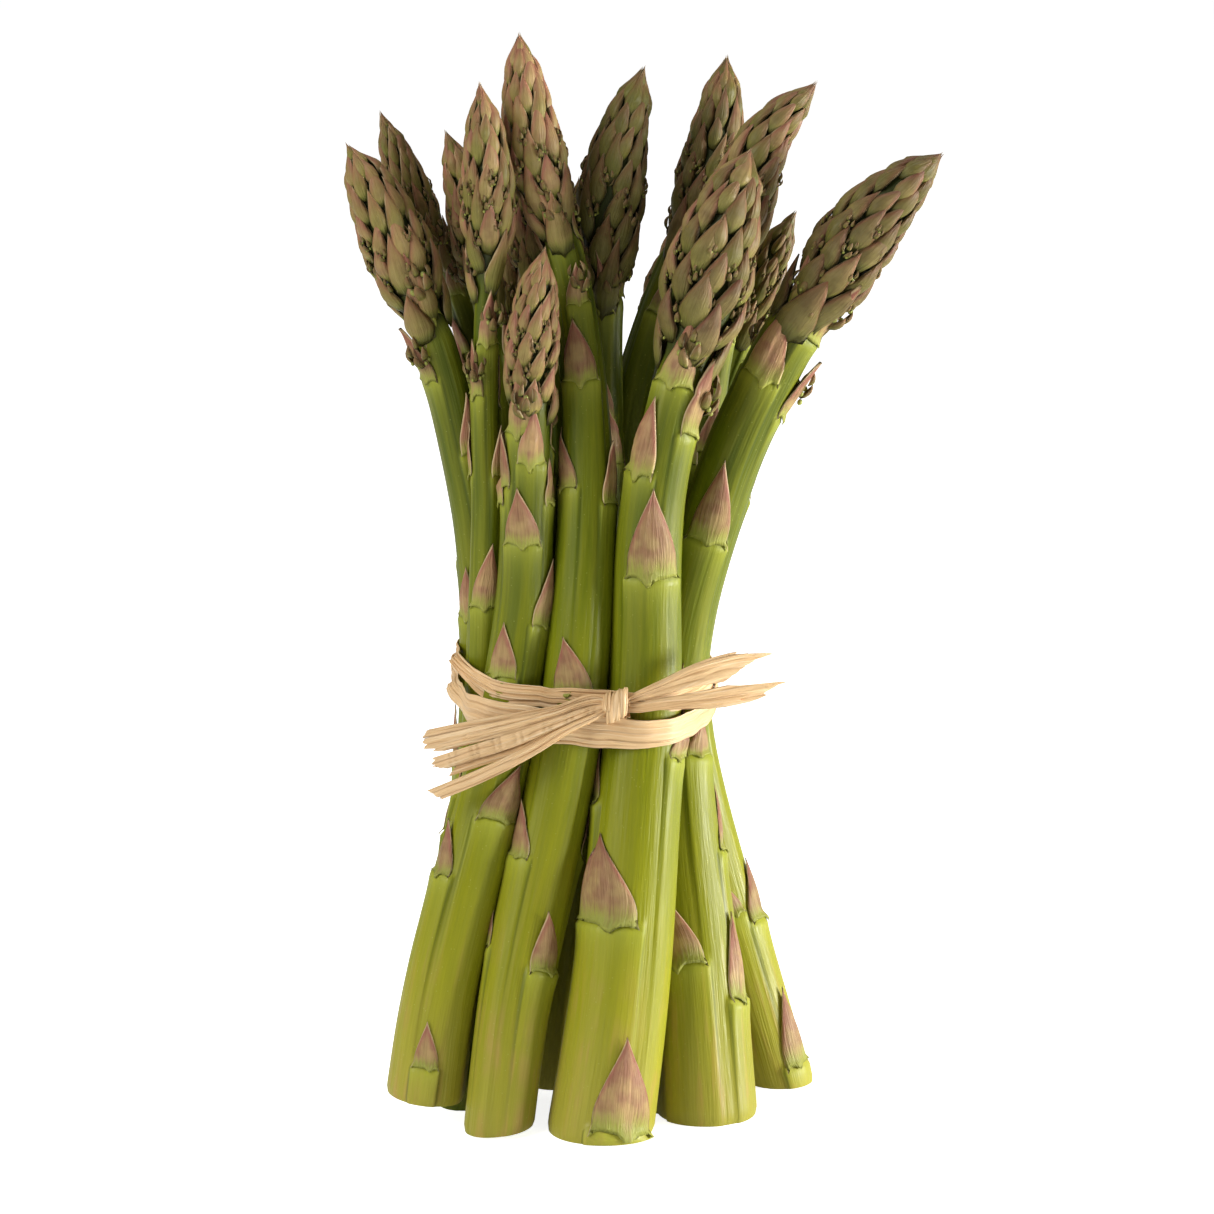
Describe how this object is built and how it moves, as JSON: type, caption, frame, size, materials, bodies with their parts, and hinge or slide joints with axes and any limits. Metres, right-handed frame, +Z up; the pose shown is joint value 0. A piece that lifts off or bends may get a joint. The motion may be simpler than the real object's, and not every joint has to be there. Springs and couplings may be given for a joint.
{
  "type": "bundle of asparagus",
  "caption": "Bundle of green asparagus spears tied at the waist with raffia, fanned out above and below the tie and standing upright on the cut ends.",
  "frame": {"origin": "on the ground, under the middle of the box round the bundle without the free ends of the tie", "axes": "+Z up along the bundle, from the cut ends to the tips; -Y is the front, where the knot is; +X is to the right as the front is looked at"},
  "size_m": [0.1166, 0.0758, 0.212],
  "materials": {
    "asparagus": null,
    "raffia": "dry straw-coloured palm fibre, satin, with fine lengthwise ridges"
  },
  "bodies": {
    "root": {"spear_front_left": "asparagus", "spear_front_tall": "asparagus", "spear_front_thick": "asparagus", "spear_front_right": "asparagus", "spear_right": "asparagus", "spear_right_small": "asparagus", "spear_right_tall": "asparagus", "spear_middle": "asparagus", "spear_left": "asparagus", "spear_left_slim": "asparagus", "spear_left_behind": "asparagus", "spear_left_inner": "asparagus", "spear_front_inner": "asparagus", "spear_core": "asparagus", "spear_back_left": "asparagus", "spear_back_right": "asparagus", "raffia_wrap_upper": "raffia", "raffia_wrap_lower": "raffia", "raffia_knot": "raffia", "raffia_tail_left_1": "raffia", "raffia_tail_left_2": "raffia", "raffia_tail_left_3": "raffia", "raffia_tail_left_4": "raffia", "raffia_tail_right_1": "raffia", "raffia_tail_right_2": "raffia"}
  },
  "joints": []
}
